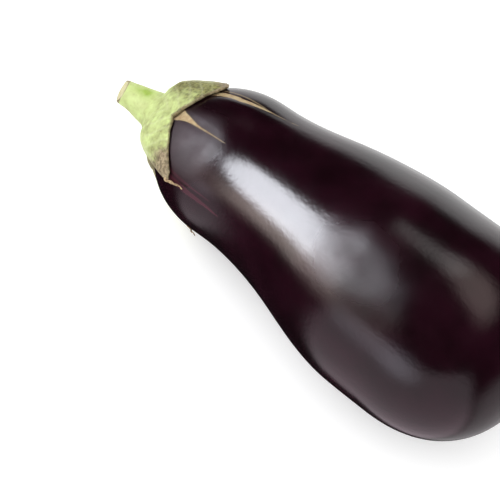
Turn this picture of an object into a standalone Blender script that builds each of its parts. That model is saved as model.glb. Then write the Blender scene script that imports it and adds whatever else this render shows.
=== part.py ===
"""An eggplant lying on its side, as three closed solids.

fruit  the berry: a narrow neck that swells to a full belly, with a small flat where it rests
calyx  the green cap on the neck: five sepals grown together, each ending in a pointed lobe
stem   the cut stalk: a short bent trumpet that stands on the cap's collar

Each piece is built in the fruit's own frame. There the fruit's axis is x, with x = 0 at the
top of the fruit under the stem, growing towards the blossom end. A roll angle turns about
the axis, from +Z at 0 degrees towards +Y at 90 degrees. The whole is then tilted until it
lies on the cap and the belly, and moved so that the origin is the bottom centre of its box.

Lengths are in metres and angles in degrees.
"""

import math

import bmesh
import bpy
import numpy as np

# Fruit
FRUIT_LENGTH = 0.1935
NECK_RADIUS = 0.0330
BELLY_RADIUS = 0.0460
SWELL_START = 0.0425        # the neck begins to widen this far from the top
SWELL_LENGTH = 0.0835       # and reaches the belly's radius after this length
SHOULDER_LENGTH = 0.0375    # rounded top, under the calyx
SHOULDER_BLUNTNESS = 2.1
END_LENGTH = 0.0485         # rounded blossom end
END_BLUNTNESS = 2.35
BOW = 0.0038                # sideways bend of the axis, towards +Y
BOW_CENTRE = 0.0725
BOW_SPREAD_TO_TOP = 0.0900
BOW_SPREAD_TO_END = 0.0350
FLAT_SPOT_DEPTH = 0.0008    # how far the belly is flattened where it rests

# Calyx
EDGE_THICKNESS = 0.0014     # of the sepals, at their free edge
COLLAR_RISE = 0.0105        # extra thickness where the cap flares into the stem
FLARE_REACH = 0.0085        # the extra thickness fades over this length
RIDGE_HEIGHT = 0.0026       # of the thick midrib near the base of each sepal
RIDGE_CENTRE = 0.0175       # length of skin from the top to the thickest place of a midrib
RIDGE_SPREAD = 0.0095
# Roll angle of each sepal's tip and of each corner of the notches between sepals, with the
# length of skin from the top of the fruit that the cap covers there
SEPAL_TIPS = ((-119.0, 0.0540), (-62.0, 0.0470), (38.0, 0.0360), (108.0, 0.0430), (180.0, 0.0480))
SEPAL_NOTCHES = (
    (-148.0, 0.0270),
    (-98.0, 0.0215),
    (-74.0, 0.0230),
    (-17.0, 0.0260),
    (74.0, 0.0260),
    (142.0, 0.0260),
)

# Stem
STEM_BASE_RADIUS = 0.0088
STEM_END_RADIUS = 0.0050
STEM_LENGTH = 0.0166
STEM_BEND = 34.0            # turn of the stem between its base and its cut end
STEM_BEND_ROLL = -35.0      # the side that it bends towards

# Clearance between pieces that touch
CONTACT_GAP = 0.0003

# Fineness of the meshes
FRUIT_RINGS = 42
FRUIT_COLUMNS = 36
CALYX_OUTER_RINGS = 13
CALYX_INNER_RINGS = 14
CALYX_COLUMNS = 96
STEM_RINGS = 9
STEM_COLUMNS = 24
PROFILE_SAMPLES = 2000


def ease(t):
    """Smooth step: 0 below 0, 1 above 1, level at both ends."""
    t = np.clip(t, 0.0, 1.0)
    return t * t * (3.0 - 2.0 * t)


def rounded_end(t, bluntness):
    """Superellipse quarter: 0 at t = 0, rising to 1 at t = 1 and beyond."""
    return (1.0 - (1.0 - np.clip(t, 0.0, 1.0)) ** bluntness) ** (1.0 / bluntness)


def fruit_radius(x):
    """Radius of the fruit at x along its axis."""
    swell = ease((x - SWELL_START) / SWELL_LENGTH)
    radius = NECK_RADIUS + (BELLY_RADIUS - NECK_RADIUS) * swell
    top = rounded_end(x / SHOULDER_LENGTH, SHOULDER_BLUNTNESS)
    bottom = rounded_end((FRUIT_LENGTH - x) / END_LENGTH, END_BLUNTNESS)
    return radius * top * bottom


class Meridian:
    """The fruit's profile line, measured by the length of skin from its top."""

    def __init__(self):
        turn = np.linspace(0.0, math.pi, PROFILE_SAMPLES)
        self.x = FRUIT_LENGTH * (1.0 - np.cos(turn)) / 2.0
        self.radius = fruit_radius(self.x)
        steps = np.hypot(np.diff(self.x), np.diff(self.radius))
        self.reach = np.concatenate([[0.0], np.cumsum(steps)])
        self.length = self.reach[-1]
        self.out_x = -np.gradient(self.radius, self.reach)
        self.out_radius = np.gradient(self.x, self.reach)

    def offset(self, reach, proud):
        """Axial and radial place of a point that stands proud of the skin."""
        x = np.interp(reach, self.reach, self.x)
        radius = np.interp(reach, self.reach, self.radius)
        out_x = np.interp(reach, self.reach, self.out_x)
        out_radius = np.interp(reach, self.reach, self.out_radius)
        return x + proud * out_x, radius + proud * out_radius

    def reach_of_radius(self, radius):
        """Length of skin from the top to where the shoulder has this radius."""
        shoulder = self.x < SHOULDER_LENGTH
        return np.interp(radius, self.radius[shoulder], self.reach[shoulder])


MERIDIAN = Meridian()


def bow_at(x):
    """Sideways place of the fruit's axis at x."""
    spread = np.where(x < BOW_CENTRE, BOW_SPREAD_TO_TOP, BOW_SPREAD_TO_END)
    return BOW * np.exp(-(((x - BOW_CENTRE) / spread) ** 2))


def around(x, radius, rolls):
    """Points at this axial place and radius, on the bowed axis, for each roll angle."""
    turn = np.radians(rolls)
    y = radius * np.sin(turn) + bow_at(x)
    z = radius * np.cos(turn)
    return np.stack([x + 0.0 * turn, y, z], axis=-1)


def over_skin(reach, proud, rolls):
    """Points proud of the fruit's skin, for each roll angle."""
    x, radius = MERIDIAN.offset(reach, proud)
    return around(x, radius, rolls)


def full_turn(columns):
    """Roll angles of evenly spaced columns around the axis."""
    return np.arange(columns) * 360.0 / columns


def lofted_mesh(name, start, rings, end):
    """Closed mesh from a start point, through rings of equal count, to an end point."""
    columns = len(rings[0])
    points = [start]
    for ring in rings:
        points.extend(ring)
    points.append(end)
    last = len(points) - 1
    faces = []
    for column in range(columns):
        beside = (column + 1) % columns
        faces.append((0, 1 + column, 1 + beside))
        for ring in range(len(rings) - 1):
            near = 1 + ring * columns
            far = near + columns
            faces.append((near + column, far + column, far + beside, near + beside))
        tail = 1 + (len(rings) - 1) * columns
        faces.append((tail + column, last, tail + beside))
    mesh = bpy.data.meshes.new(name)
    mesh.from_pydata([tuple(map(float, point)) for point in points], [], faces)
    return mesh


def fruit_mesh():
    """The berry, from its top under the stem to its blossom end."""
    rolls = full_turn(FRUIT_COLUMNS)
    reaches = np.linspace(0.0, MERIDIAN.length, FRUIT_RINGS + 2)
    rings = [over_skin(reach, 0.0, rolls) for reach in reaches[1:-1]]
    top = around(0.0, 0.0, np.zeros(1))[0]
    bottom = around(FRUIT_LENGTH, 0.0, np.zeros(1))[0]
    return lofted_mesh("fruit", top, rings, bottom)


def between_corners(rolls, tip_values, notch_values):
    """Values at the sepals' tips and notches, run straight from each one to the next."""
    corner_rolls = [roll for roll, reach in SEPAL_TIPS + SEPAL_NOTCHES]
    return np.interp(rolls, corner_rolls, list(tip_values) + list(notch_values), period=360.0)


def sepal_reach(rolls):
    """Length of skin that the calyx covers at each roll angle."""
    tips = [reach for roll, reach in SEPAL_TIPS]
    notches = [reach for roll, reach in SEPAL_NOTCHES]
    return between_corners(rolls, tips, notches)


def sepal_ridge(rolls):
    """1 along each sepal's midrib and 0 in line with each notch, with smooth slopes."""
    return ease(between_corners(rolls, np.ones(len(SEPAL_TIPS)), np.zeros(len(SEPAL_NOTCHES))))


def collar_reach():
    """Where the collar starts: its outer radius is then the stem's base radius."""
    candidates = np.linspace(0.0, MERIDIAN.reach_of_radius(STEM_BASE_RADIUS), PROFILE_SAMPLES)
    x, radius = MERIDIAN.offset(candidates, calyx_proud(candidates, candidates, 0.0))
    return float(np.interp(STEM_BASE_RADIUS, radius, candidates))


def calyx_proud(reach, start, ridge):
    """Height of the calyx's outside above the skin, flaring up to the collar at start.

    ridge is 1 on a sepal's midrib and 0 in line with a notch.
    """
    flare = COLLAR_RISE * np.exp(-(reach - start) / FLARE_REACH)
    midrib = ridge * RIDGE_HEIGHT * np.exp(-(((reach - RIDGE_CENTRE) / RIDGE_SPREAD) ** 2))
    return CONTACT_GAP + EDGE_THICKNESS + flare + midrib * ease((reach - start) / RIDGE_SPREAD)


def collar_ring():
    """Axial place and radius of the collar's rim, where the stem stands."""
    start = collar_reach()
    return MERIDIAN.offset(start, calyx_proud(start, start, 0.0))


def calyx_mesh():
    """The cap: down its outside from the collar to the lobes, and back along its inside."""
    rolls = full_turn(CALYX_COLUMNS)
    edge = sepal_reach(rolls)
    ridge = sepal_ridge(rolls)
    start = collar_reach()
    rings = []
    for share in np.linspace(0.0, 1.0, CALYX_OUTER_RINGS):
        reach = start + (edge - start) * share
        rings.append(over_skin(reach, calyx_proud(reach, start, ridge), rolls))
    for share in np.linspace(1.0, 0.0, CALYX_INNER_RINGS + 1)[:-1]:
        rings.append(over_skin(edge * share, CONTACT_GAP, rolls))
    collar_x = collar_ring()[0]
    outside = around(collar_x, 0.0, np.zeros(1))[0]
    inside = around(-CONTACT_GAP, 0.0, np.zeros(1))[0]
    return lofted_mesh("calyx", outside, rings, inside)


def stem_radius(share):
    """Radius of the stem, hollowed like a trumpet between its base and its cut end."""
    return STEM_END_RADIUS + (STEM_BASE_RADIUS - STEM_END_RADIUS) * (1.0 - share) ** 1.6


def stem_frame(share):
    """Centre, sideways and upward directions of the stem's section at a share of its length.

    The centre line is an arc that leaves the collar straight along the axis.
    """
    bend = math.radians(STEM_BEND)
    turned = bend * share
    arc_radius = STEM_LENGTH / bend
    roll = math.radians(STEM_BEND_ROLL)
    towards = np.array([0.0, math.sin(roll), math.cos(roll)])
    away = np.array([-1.0, 0.0, 0.0])
    collar_x, collar_radius = collar_ring()
    base = around(collar_x, 0.0, np.zeros(1))[0] + away * CONTACT_GAP
    centre = base + arc_radius * (math.sin(turned) * away + (1.0 - math.cos(turned)) * towards)
    across = np.cross(away, towards)
    upward = math.cos(turned) * towards - math.sin(turned) * away
    return centre, across, upward


def stem_mesh():
    """The stalk, from the collar to its flat cut end."""
    turn = np.radians(full_turn(STEM_COLUMNS))[:, None]
    rings = []
    for share in np.linspace(0.0, 1.0, STEM_RINGS):
        centre, across, upward = stem_frame(share)
        rings.append(centre + stem_radius(share) * (np.cos(turn) * upward + np.sin(turn) * across))
    return lofted_mesh("stem", stem_frame(0.0)[0], rings, stem_frame(1.0)[0])


def mesh_points(mesh):
    """Corner positions of a mesh as an array."""
    flat = np.empty(len(mesh.vertices) * 3)
    mesh.vertices.foreach_get("co", flat)
    return flat.reshape(-1, 3)


def set_mesh_points(mesh, points):
    """Move the corners of a mesh to new positions."""
    mesh.vertices.foreach_set("co", points.ravel())


def balance_x():
    """Axial place of the fruit's centre of mass."""
    x = np.linspace(0.0, FRUIT_LENGTH, PROFILE_SAMPLES)
    area = fruit_radius(x) ** 2
    return float(np.sum(x * area) / np.sum(area))


def lower_outline(points):
    """Lower convex outline of points seen from the side, as (x, z) corners."""
    hull = []
    for x, z in sorted(map(tuple, points[:, [0, 2]])):
        while len(hull) > 1:
            (ax, az), (bx, bz) = hull[-2], hull[-1]
            if (bx - ax) * (z - az) - (bz - az) * (x - ax) > 0.0:
                break
            hull.pop()
        hull.append((x, z))
    return hull


def resting_line(fruit, calyx):
    """Two points that the eggplant lies on, with its centre of mass between them.

    The belly's points are raised by the depth of the flat spot that it rests on.
    """
    raised = mesh_points(fruit) + np.array([0.0, 0.0, FLAT_SPOT_DEPTH])
    outline = lower_outline(np.concatenate([raised, mesh_points(calyx)]))
    balance = balance_x()
    for near, far in zip(outline, outline[1:]):
        if near[0] <= balance <= far[0]:
            return near, far
    return outline[0], outline[-1]


def lay_down(meshes, near, far):
    """Tilt the meshes until the resting line is level, and lower it to the floor."""
    tilt = math.atan2(far[1] - near[1], far[0] - near[0])
    cosine = math.cos(tilt)
    sine = math.sin(tilt)
    level = np.array([[cosine, 0.0, sine], [0.0, 1.0, 0.0], [-sine, 0.0, cosine]])
    floor = (level @ np.array([near[0], 0.0, near[1]]))[2]
    for mesh in meshes:
        set_mesh_points(mesh, mesh_points(mesh) @ level.T - np.array([0.0, 0.0, floor]))


def cut_flat_spot(mesh):
    """Cut away what is left of the belly below the floor, and close the cut."""
    work = bmesh.new()
    work.from_mesh(mesh)
    everything = work.verts[:] + work.edges[:] + work.faces[:]
    cut = bmesh.ops.bisect_plane(
        work, geom=everything, plane_co=(0.0, 0.0, 0.0), plane_no=(0.0, 0.0, -1.0), clear_outer=True
    )
    rim = [item for item in cut["geom_cut"] if isinstance(item, bmesh.types.BMEdge)]
    bmesh.ops.contextual_create(work, geom=rim)
    work.to_mesh(mesh)
    work.free()


def centre_on_origin(meshes):
    """Move the meshes so that the middle of their box's underside is the origin."""
    points = np.concatenate([mesh_points(mesh) for mesh in meshes])
    low = points.min(axis=0)
    high = points.max(axis=0)
    middle = np.array([(low[0] + high[0]) / 2.0, (low[1] + high[1]) / 2.0, low[2]])
    for mesh in meshes:
        set_mesh_points(mesh, mesh_points(mesh) - middle)


def finish_mesh(mesh, sharp_angle):
    """Split four-sided faces along their shorter diagonal, turn every face outwards and
    shade the round faces smooth.
    """
    work = bmesh.new()
    work.from_mesh(mesh)
    quads = [face for face in work.faces if len(face.verts) == 4]
    bmesh.ops.triangulate(work, faces=quads, quad_method="SHORT_EDGE")
    bmesh.ops.recalc_face_normals(work, faces=work.faces)
    work.to_mesh(mesh)
    work.free()
    mesh.shade_smooth()
    mesh.set_sharp_from_angle(angle=math.radians(sharp_angle))
    mesh.update()


def add_piece(mesh, colour, roughness):
    """Put a mesh in the scene as an object of its own, with its own material."""
    material = bpy.data.materials.new(mesh.name)
    material.use_nodes = True
    shader = material.node_tree.nodes["Principled BSDF"]
    shader.inputs["Base Color"].default_value = (*colour, 1.0)
    shader.inputs["Roughness"].default_value = roughness
    shader.inputs["Metallic"].default_value = 0.0
    mesh.materials.append(material)
    bpy.context.scene.collection.objects.link(bpy.data.objects.new(mesh.name, mesh))


def main():
    """Build the eggplant in an emptied scene."""
    for item in list(bpy.data.objects):
        bpy.data.objects.remove(item, do_unlink=True)
    fruit = fruit_mesh()
    calyx = calyx_mesh()
    stem = stem_mesh()
    pieces = (fruit, calyx, stem)
    lay_down(pieces, *resting_line(fruit, calyx))
    cut_flat_spot(fruit)
    centre_on_origin(pieces)
    for mesh in pieces:
        finish_mesh(mesh, sharp_angle=50.0)
    add_piece(fruit, colour=(0.012, 0.004, 0.010), roughness=0.22)
    add_piece(calyx, colour=(0.42, 0.52, 0.20), roughness=0.60)
    add_piece(stem, colour=(0.52, 0.62, 0.26), roughness=0.60)


main()
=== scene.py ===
"""An eggplant lying on its side: the looks of its fruit, calyx, stem and dried sepal tips.

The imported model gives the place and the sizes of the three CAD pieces. Each one is replaced
here by a fine surface of the same shape, worked out with numpy from the formulas below, with
the furrows, veins, pits and dried edges that the plain solids lack.

Lengths are in metres and angles in degrees. The fruit's own frame has its axis along x, with
x = 0 at the top of the fruit under the stem. A roll angle turns about that axis, from +Z at
0 towards +Y at 90. A reach is a length of skin, measured along the profile from the top.
"""

import logging
import math
from dataclasses import dataclass, field
from enum import Enum

import bpy
import numpy as np
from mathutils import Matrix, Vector


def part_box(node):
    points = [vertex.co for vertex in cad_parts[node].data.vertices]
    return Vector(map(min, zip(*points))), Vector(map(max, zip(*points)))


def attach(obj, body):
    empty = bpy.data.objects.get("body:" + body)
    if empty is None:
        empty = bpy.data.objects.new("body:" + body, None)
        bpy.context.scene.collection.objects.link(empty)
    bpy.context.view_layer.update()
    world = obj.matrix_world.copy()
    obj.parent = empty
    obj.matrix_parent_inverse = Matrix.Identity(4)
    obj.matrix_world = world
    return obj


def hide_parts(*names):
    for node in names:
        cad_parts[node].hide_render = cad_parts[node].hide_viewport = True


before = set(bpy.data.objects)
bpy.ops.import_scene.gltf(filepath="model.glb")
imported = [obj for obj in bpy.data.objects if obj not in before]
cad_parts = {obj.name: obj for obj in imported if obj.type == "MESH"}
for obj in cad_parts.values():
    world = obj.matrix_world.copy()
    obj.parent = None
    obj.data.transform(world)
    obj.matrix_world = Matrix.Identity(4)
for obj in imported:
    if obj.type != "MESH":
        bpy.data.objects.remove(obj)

log = logging.getLogger("eggplant")

BODY = "root"
MM = 0.001
AXIS_TILT = 6.94  # degrees by which the fruit's axis rises towards the belly end
RIB_COUNT = 5.0  # soft ribs round the neck and the stem, one for each sepal
RIB_ROLL = 38.0  # roll angle of the rib on the upper sepal
Colour = tuple[float, float, float]


# ---------------------------------------------------------------------------------------
# Shared mathematics
# ---------------------------------------------------------------------------------------


def ease(t: np.ndarray | float) -> np.ndarray | float:
    """Smooth step, 3t^2 - 2t^3 with t held between 0 and 1.

    Args:
        t: where to read the step.

    Returns:
        0 below 0, 1 above 1, level at both ends.
    """
    t = np.clip(t, 0.0, 1.0)
    return t * t * (3.0 - 2.0 * t)


def bell(t: np.ndarray) -> np.ndarray:
    """Bell curve exp(-t^2), 1 at t = 0."""
    return np.exp(-(t * t))


def rounded_end(t: np.ndarray, bluntness: float) -> np.ndarray:
    """Superellipse quarter, (1 - (1 - t)^p)^(1/p), which rises from 0 at t = 0 to 1 at t = 1.

    Args:
        t: distance from the end, as a share of the rounded length.
        bluntness: the power p, 2 for an ellipse and more for a squarer end.

    Returns:
        The share of the full radius.
    """
    return (1.0 - (1.0 - np.clip(t, 0.0, 1.0)) ** bluntness) ** (1.0 / bluntness)


def roll_gap(roll: np.ndarray, other: np.ndarray | float) -> np.ndarray:
    """Signed difference of two roll angles, brought between -180 and 180 degrees."""
    return (roll - other + 180.0) % 360.0 - 180.0


def near_roll(roll: np.ndarray, centre: float, spread: float) -> np.ndarray:
    """Bell of the roll angle: 1 at the centre, and 1/e at the spread to each side of it."""
    return bell(roll_gap(roll, centre) / spread)


def rib_wave(roll: np.ndarray, lean: np.ndarray | float = 0.0) -> np.ndarray:
    """Cosine round the axis with a crest on each rib, moved on by a lean in radians."""
    return np.cos(np.radians(RIB_COUNT * (roll - RIB_ROLL)) + lean)


def on_circle(roll: np.ndarray) -> np.ndarray:
    """Points on a circle of radius 1, for a noise that changes with the roll angle alone."""
    turn = np.radians(roll)
    return np.stack([np.cos(turn), np.sin(turn), np.zeros_like(turn)], axis=-1)


def lattice_noise(points: np.ndarray, cell: float, seed: int) -> np.ndarray:
    """Smooth noise in space.

    Space is cut into cubes of side cell. Each cube corner gets a value from a hash of its
    whole-number place, and a point blends its eight corner values with 3t^2 - 2t^3 along
    each direction.

    Args:
        points: array whose last axis holds x, y and z.
        cell: side of a cube, in metres.
        seed: picks one pattern of many.

    Returns:
        Values between -1 and 1, one for each point.
    """
    scaled = points / cell + 1000.0
    whole = np.floor(scaled).astype(np.int64)
    part = scaled - whole
    blend = part * part * (3.0 - 2.0 * part)
    total = np.zeros(points.shape[:-1])
    for corner in np.ndindex(2, 2, 2):
        place = whole + np.array(corner)
        mixed = place[..., 0] * 73856093 ^ place[..., 1] * 19349663 ^ place[..., 2] * 83492791
        mixed = (mixed ^ (seed * 668265263)) & 0xFFFFFFFF
        mixed = ((mixed ^ (mixed >> 15)) * 2246822519) & 0xFFFFFFFF
        mixed = ((mixed ^ (mixed >> 13)) * 3266489917) & 0xFFFFFFFF
        value = (mixed ^ (mixed >> 16)) / 2147483648.0 - 1.0
        weights = np.where(np.array(corner) == 1, blend, 1.0 - blend)
        total += value * np.prod(weights, axis=-1)
    return total


def layered_noise(points: np.ndarray, cell: float, seed: int, layers: int = 3) -> np.ndarray:
    """Sum of lattice noises, each half the size and half the height of the one before.

    Args:
        points: array whose last axis holds x, y and z.
        cell: side of the largest cubes.
        seed: picks one pattern of many.
        layers: how many sizes are added.

    Returns:
        Values of about -1 to 1, one for each point.
    """
    total = np.zeros(points.shape[:-1])
    for layer in range(layers):
        total += lattice_noise(points, cell / 2.0**layer, seed + layer) / 2.0**layer
    return total / (2.0 - 2.0 ** (1 - layers))


def graded(stops: list[tuple[float, float]], count: int, closed: bool = False) -> np.ndarray:
    """Places along a line that crowd together where the wanted spacing is small.

    The spacing is read between the stops by straight lines. Its inverse is summed along the
    line, and the sum is cut into equal shares.

    Args:
        stops: pairs of place and wanted spacing, in order.
        count: how many places.
        closed: leave out the last place, because it is the first one again.

    Returns:
        The places, from the first stop to the last.
    """
    where = np.linspace(stops[0][0], stops[-1][0], 8001)
    spacing = np.interp(where, [place for place, _ in stops], [gap for _, gap in stops])
    crowd = np.concatenate([[0.0], np.cumsum((1.0 / spacing)[:-1] * np.diff(where))])
    shares = np.linspace(0.0, crowd[-1], count + 1 if closed else count)
    places = np.interp(shares, crowd, where)
    return places[:-1] if closed else places


# ---------------------------------------------------------------------------------------
# Meshes
# ---------------------------------------------------------------------------------------


def turned_faces(rings: int, columns: int) -> np.ndarray:
    """Corner numbers of the quads of a closed band, ring after ring, seen from outside.

    Args:
        rings: number of rings.
        columns: number of corners in each ring.

    Returns:
        Array of four corner numbers for each quad.
    """
    ring, column = np.meshgrid(np.arange(rings - 1), np.arange(columns), indexing="ij")
    beside = (column + 1) % columns
    near = ring * columns
    far = near + columns
    quads = np.stack([near + column, far + column, far + beside, near + beside], axis=-1)
    return quads.reshape(-1, 4)


@dataclass(frozen=True)
class Shell:
    """A closed surface as whole arrays.

    Attributes:
        points: corner positions, one row each.
        corners: corner numbers of all faces, one face after the other.
        sizes: corners in each face, 3 or 4.
    """

    points: np.ndarray
    corners: np.ndarray
    sizes: np.ndarray

    @classmethod
    def through(cls, first: np.ndarray, rings: np.ndarray, last: np.ndarray) -> "Shell":
        """Surface that runs from a first point, through rings, to a last point.

        Args:
            first: the point that closes the first ring.
            rings: array of rings, columns and xyz.
            last: the point that closes the last ring.

        Returns:
            The surface, with its faces turned outwards.
        """
        count, columns = rings.shape[:2]
        points = np.concatenate([first[None, :], rings.reshape(-1, 3), last[None, :]])
        quads = turned_faces(count, columns) + 1
        column = np.arange(columns)
        beside = (column + 1) % columns
        top = np.stack([np.zeros(columns, int), column + 1, beside + 1], axis=-1)
        tail = (count - 1) * columns + 1
        bottom = np.stack([tail + column, np.full(columns, len(points) - 1), tail + beside], axis=-1)
        corners = np.concatenate([top.ravel(), quads.ravel(), bottom.ravel()])
        sizes = np.concatenate([np.full(columns, 3), np.full(len(quads), 4), np.full(columns, 3)])
        shell = cls(points, corners, sizes)
        return shell.flipped() if shell.volume() < 0.0 else shell

    @classmethod
    def joined(cls, shells: list["Shell"]) -> "Shell":
        """Several surfaces as one, with each one's corner numbers moved past those before it.

        Args:
            shells: the surfaces.

        Returns:
            The joined surface.
        """
        before = np.cumsum([0] + [len(shell.points) for shell in shells[:-1]])
        return cls(
            np.concatenate([shell.points for shell in shells]),
            np.concatenate([shell.corners + offset for shell, offset in zip(shells, before)]),
            np.concatenate([shell.sizes for shell in shells]),
        )

    def starts(self) -> np.ndarray:
        """Place of each face's first corner in the list of corners."""
        return np.concatenate([[0], np.cumsum(self.sizes)[:-1]])

    def volume(self) -> float:
        """Volume inside, negative where the faces point inwards.

        It is the sum over faces of a . (b x c) / 6, with each quad read as two triangles.

        Returns:
            The signed volume.
        """
        starts = self.starts()
        a, b, c = (self.points[self.corners[starts + step]] for step in range(3))
        total = np.sum(a * np.cross(b, c))
        quads = starts[self.sizes == 4]
        a, c, d = (self.points[self.corners[quads + step]] for step in (0, 2, 3))
        return float(total + np.sum(a * np.cross(c, d))) / 6.0

    def flipped(self) -> "Shell":
        """The surface turned inside out: each face keeps its first corner and runs backwards.

        Returns:
            The turned surface.
        """
        size = np.repeat(self.sizes, self.sizes)
        start = np.repeat(self.starts(), self.sizes)
        step = np.arange(len(self.corners)) - start
        return Shell(self.points, self.corners[start + (size - step) % size], self.sizes)

    def piece(self, name: str, values: dict[str, np.ndarray] | None = None) -> bpy.types.Object:
        """Put the surface into the scene as an object, shaded smooth.

        Args:
            name: of the piece.
            values: named values for the corners, each an array of rings and columns.

        Returns:
            The object.
        """
        mesh = bpy.data.meshes.new(name)
        mesh.vertices.add(len(self.points))
        mesh.vertices.foreach_set("co", self.points.astype(np.float32).ravel())
        mesh.loops.add(len(self.corners))
        mesh.loops.foreach_set("vertex_index", self.corners.astype(np.int32))
        mesh.polygons.add(len(self.sizes))
        mesh.polygons.foreach_set("loop_start", self.starts().astype(np.int32))
        mesh.update(calc_edges=True)
        for label, grid in (values or {}).items():
            flat = np.concatenate([[grid[0].mean()], grid.ravel(), [grid[-1].mean()]])
            layer = mesh.attributes.new(label, "FLOAT", "POINT")
            layer.data.foreach_set("value", flat.astype(np.float32))
        mesh.validate()
        mesh.shade_smooth()
        piece = bpy.data.objects.new(name, mesh)
        bpy.context.scene.collection.objects.link(piece)
        return piece


# ---------------------------------------------------------------------------------------
# Shape of the eggplant
# ---------------------------------------------------------------------------------------


@dataclass(frozen=True)
class Streak:
    """A pale or pink streak that runs down the skin from under the calyx.

    Attributes:
        roll_at_start: roll angle where it leaves the calyx.
        roll_at_end: roll angle where it ends.
        start: reach of its widest place.
        end: reach of its pointed end.
        half_width: at its widest.
        taper: power of its narrowing, more for a longer thin point.
        strength: how much of the skin's own colour it hides.
    """

    roll_at_start: float
    roll_at_end: float
    start: float
    end: float
    half_width: float
    taper: float
    strength: float

    def middle(self, share: np.ndarray) -> np.ndarray:
        """Roll angle of its middle line, at a share of its length."""
        return self.roll_at_start + (self.roll_at_end - self.roll_at_start) * share

    def cover(
        self, reach: np.ndarray, roll: np.ndarray, radius: np.ndarray, fray: np.ndarray
    ) -> np.ndarray:
        """How much the streak covers each point.

        The half width shrinks as (1 - t)^taper, where t runs from 0 at the start to 1 at
        the end. The cover falls off within a fifth of a millimetre to each side of its edge.

        Args:
            reach: length of skin from the top.
            roll: roll angle.
            radius: distance from the axis.
            fray: noise that makes the sides uneven.

        Returns:
            Cover between 0 and strength.
        """
        t = np.clip((reach - self.start) / (self.end - self.start), 0.0, 1.0)
        aside = np.abs(np.radians(roll_gap(roll, self.middle(t)))) * radius
        width = self.half_width * (1.0 - t) ** self.taper * (1.0 + 0.25 * fray)
        inside = ease(0.5 + (width - aside) / (0.4 * MM))
        return self.strength * inside * (t < 1.0)


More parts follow.
